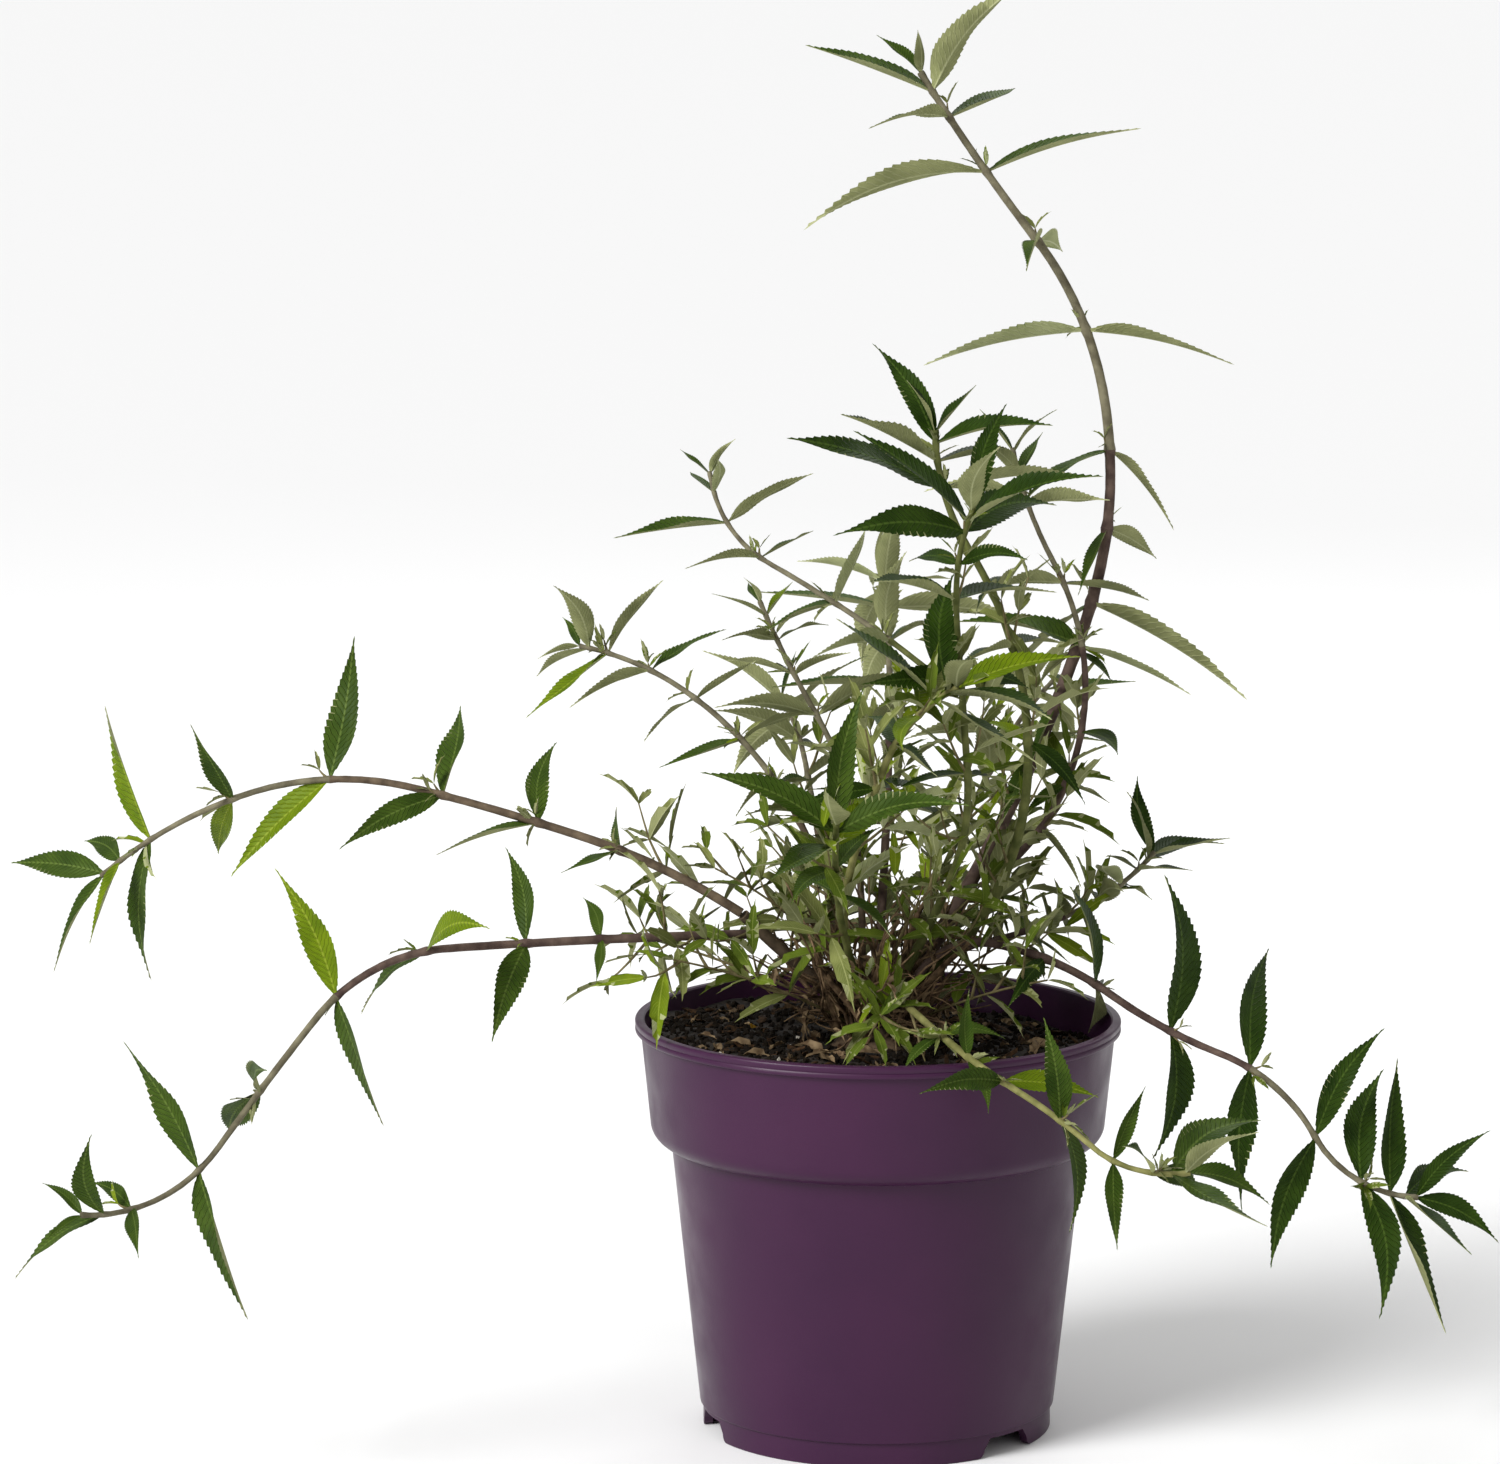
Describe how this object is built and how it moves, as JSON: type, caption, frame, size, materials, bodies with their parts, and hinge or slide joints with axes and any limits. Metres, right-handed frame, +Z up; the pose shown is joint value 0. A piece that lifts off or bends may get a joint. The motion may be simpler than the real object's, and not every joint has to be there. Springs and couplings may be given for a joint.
{
  "type": "butterfly bush in a nursery pot",
  "caption": "Young potted butterfly bush with arching leafy canes springing from a short woody stool in a round tapered nursery pot filled with compost.",
  "frame": {"origin": "on the floor under the middle of the pot, at the flat pad under the pot's floor", "axes": "+Z up, -Y towards the side that the picture shows, +X to the right in the picture"},
  "size_m": [0.5836, 0.4168, 0.56],
  "materials": {
    "pot_plastic": "satin",
    "compost": "matte",
    "bark": "matte",
    "brown_cane": "matte",
    "green_cane": "matte",
    "foliage": "matte"
  },
  "bodies": {
    "root": {"back_cane": "brown_cane", "back_leaves": "foliage", "back_left_cane": "brown_cane", "back_left_leaves": "foliage", "back_right_cane": "green_cane", "back_right_leaves": "foliage", "centre_cane": "green_cane", "centre_leaves": "foliage", "front_cane": "green_cane", "front_leaves": "foliage", "front_right_cane": "green_cane", "front_right_leaves": "foliage", "green_cane": "green_cane", "green_leaves": "foliage", "left_arch_cane": "brown_cane", "left_arch_leaves_1": "foliage", "left_arch_leaves_2": "foliage", "left_back_cane": "brown_cane", "left_back_leaves": "foliage", "left_limb": "brown_cane", "left_mid_cane": "brown_cane", "left_mid_leaves": "foliage", "left_sweep_cane": "brown_cane", "left_sweep_leaves_1": "foliage", "left_sweep_leaves_2": "foliage", "low_spray_1": "foliage", "low_spray_10": "foliage", "low_spray_2": "foliage", "low_spray_3": "foliage", "low_spray_4": "foliage", "low_spray_5": "foliage", "low_spray_6": "foliage", "low_spray_7": "foliage", "low_spray_8": "foliage", "low_spray_9": "foliage", "pot": "pot_plastic", "right_arch_cane": "green_cane", "right_arch_leaves_1": "foliage", "right_arch_leaves_2": "foliage", "right_low_cane": "green_cane", "right_low_leaves": "foliage", "right_side_cane": "brown_cane", "right_side_leaves": "foliage", "soil": "compost", "stool": "bark", "tall_cane": "brown_cane", "tall_leaves_1": "foliage", "tall_leaves_2": "foliage", "upper_left_cane": "green_cane", "upper_left_leaves": "foliage", "yellow_cane": "green_cane", "yellow_leaves": "foliage"}
  },
  "joints": []
}
